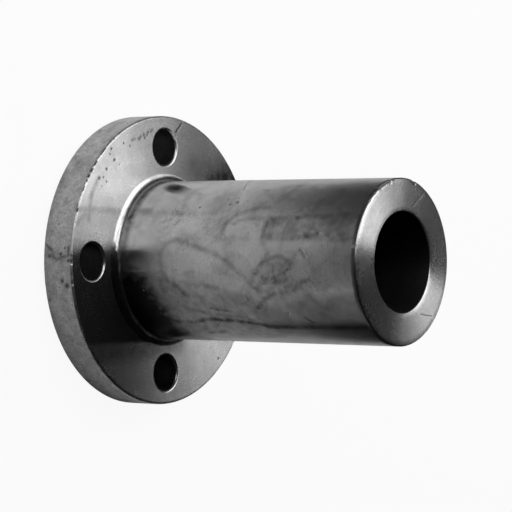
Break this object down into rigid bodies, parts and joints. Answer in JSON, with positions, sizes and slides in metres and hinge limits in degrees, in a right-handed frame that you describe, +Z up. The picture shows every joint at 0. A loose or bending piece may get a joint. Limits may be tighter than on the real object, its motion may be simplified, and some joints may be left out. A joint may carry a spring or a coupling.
{
  "type": "long weld neck flange",
  "caption": "Round drilled pipe flange with a long thick-walled neck and a bore right through, for bolting at one end and butt welding at the other.",
  "frame": {"origin": "centre of the gasket face, on the axis of the bore", "axes": "+Z up the bore, from the gasket face to the plain end of the neck; bolt holes on +X, +Y, -X and -Y"},
  "size_m": [0.154, 0.154, 0.1715],
  "materials": {
    "flange_body": "bare forged carbon steel, turned all over, with a film of oil"
  },
  "bodies": {
    "root": {"flange_body": "flange_body"}
  },
  "joints": []
}
